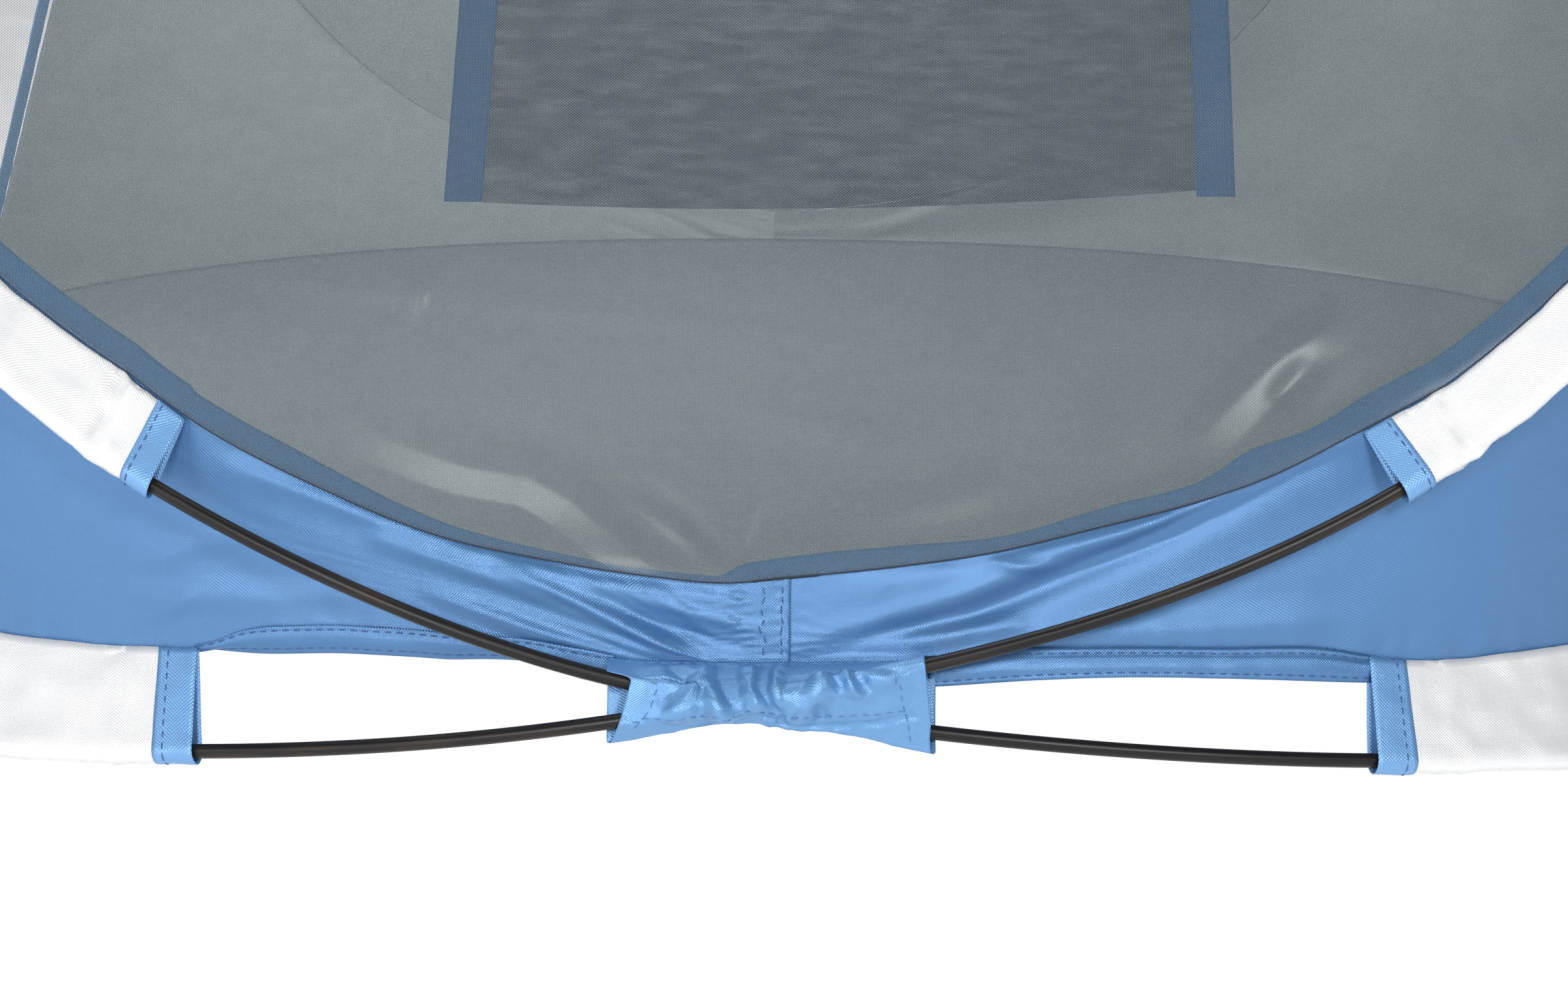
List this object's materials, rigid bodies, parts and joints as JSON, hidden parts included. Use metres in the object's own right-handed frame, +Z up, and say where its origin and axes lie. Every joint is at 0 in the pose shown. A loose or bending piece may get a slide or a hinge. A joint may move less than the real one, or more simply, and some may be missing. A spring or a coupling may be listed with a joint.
{
  "type": "beach shelter",
  "caption": "Pop-up beach shelter on two crossed fibreglass hoops, with a net end window, an open front and a ground flap that turns up.",
  "frame": {"origin": "on the ground, at the middle of the floor's flat underside, midway between the two hoop crossings", "axes": "+Z up, -X out of the open front, Y from the right end's crossing (-Y) to the left end's crossing (+Y)"},
  "size_m": [1.6314, 1.5178, 0.9798],
  "materials": {
    "fibreglass": "satin black pultruded fibreglass with faint brown streaks",
    "ferrule_steel": "satin",
    "eyelet_steel": "satin plated",
    "blue_cloth": "light blue plain-woven polyester with a soft sheen",
    "blue_tape": "light blue folded binding tape",
    "silver_cloth": "silver coated polyester",
    "window_net": "fine grey knitted net",
    "grey_floor_cloth": "grey coated floor cloth",
    "tab_webbing": "black woven webbing"
  },
  "bodies": {
    "shelter": {"hoop_a_right_rod": "fibreglass", "hoop_a_right_rib_ferrule": "ferrule_steel", "hoop_a_right_floor_ferrule": "ferrule_steel", "hoop_a_left_rod": "fibreglass", "hoop_a_left_rib_ferrule": "ferrule_steel", "hoop_a_left_floor_ferrule": "ferrule_steel", "hoop_a_roof_rod": "fibreglass", "hoop_a_floor_rod": "fibreglass", "hoop_b_right_rod": "fibreglass", "hoop_b_right_rib_ferrule": "ferrule_steel", "hoop_b_right_floor_ferrule": "ferrule_steel", "hoop_b_left_rod": "fibreglass", "hoop_b_left_rib_ferrule": "ferrule_steel", "hoop_b_left_floor_ferrule": "ferrule_steel", "hoop_b_roof_rod": "fibreglass", "hoop_b_floor_rod": "fibreglass", "roof_sleeve_front": "silver_cloth", "floor_sleeve_front": "silver_cloth", "roof_sleeve_binding_front_right": "blue_cloth", "floor_sleeve_binding_front_right": "blue_cloth", "seam_flange_front_right": "blue_cloth", "peg_tab_front_right": "tab_webbing", "peg_eyelet_front_right": "eyelet_steel", "roof_sleeve_binding_front_left": "blue_cloth", "floor_sleeve_binding_front_left": "blue_cloth", "seam_flange_front_left": "blue_cloth", "peg_tab_front_left": "tab_webbing", "peg_eyelet_front_left": "eyelet_steel", "roof_sleeve_back": "silver_cloth", "floor_sleeve_back": "silver_cloth", "roof_sleeve_binding_back_right": "blue_cloth", "floor_sleeve_binding_back_right": "blue_cloth", "seam_flange_back_right": "blue_cloth", "peg_tab_back_right": "tab_webbing", "peg_eyelet_back_right": "eyelet_steel", "roof_sleeve_binding_back_left": "blue_cloth", "floor_sleeve_binding_back_left": "blue_cloth", "seam_flange_back_left": "blue_cloth", "peg_tab_back_left": "tab_webbing", "peg_eyelet_back_left": "eyelet_steel", "front_corner_right": "blue_cloth", "mouth_binding_right": "blue_tape", "crossing_wrap_right": "blue_cloth", "front_corner_left": "blue_cloth", "mouth_binding_left": "blue_tape", "crossing_wrap_left": "blue_cloth", "net_window_right": "window_net", "end_panel_left": "silver_cloth", "back_wall": "blue_cloth", "roof_panel": "silver_cloth", "floor_sheet": "grey_floor_cloth", "pocket_net": "window_net", "pocket_tape_left": "blue_tape", "pocket_tape_right": "blue_tape"},
    "flap": {"front_flap": "grey_floor_cloth"}
  },
  "joints": [
    {"name": "flap_turn", "type": "hinge", "parent": "shelter", "child": "flap", "pos_m": [-0.60667, 0, 0.002], "axis": [0, 1, 0], "range_deg": [0, 100]}
  ]
}
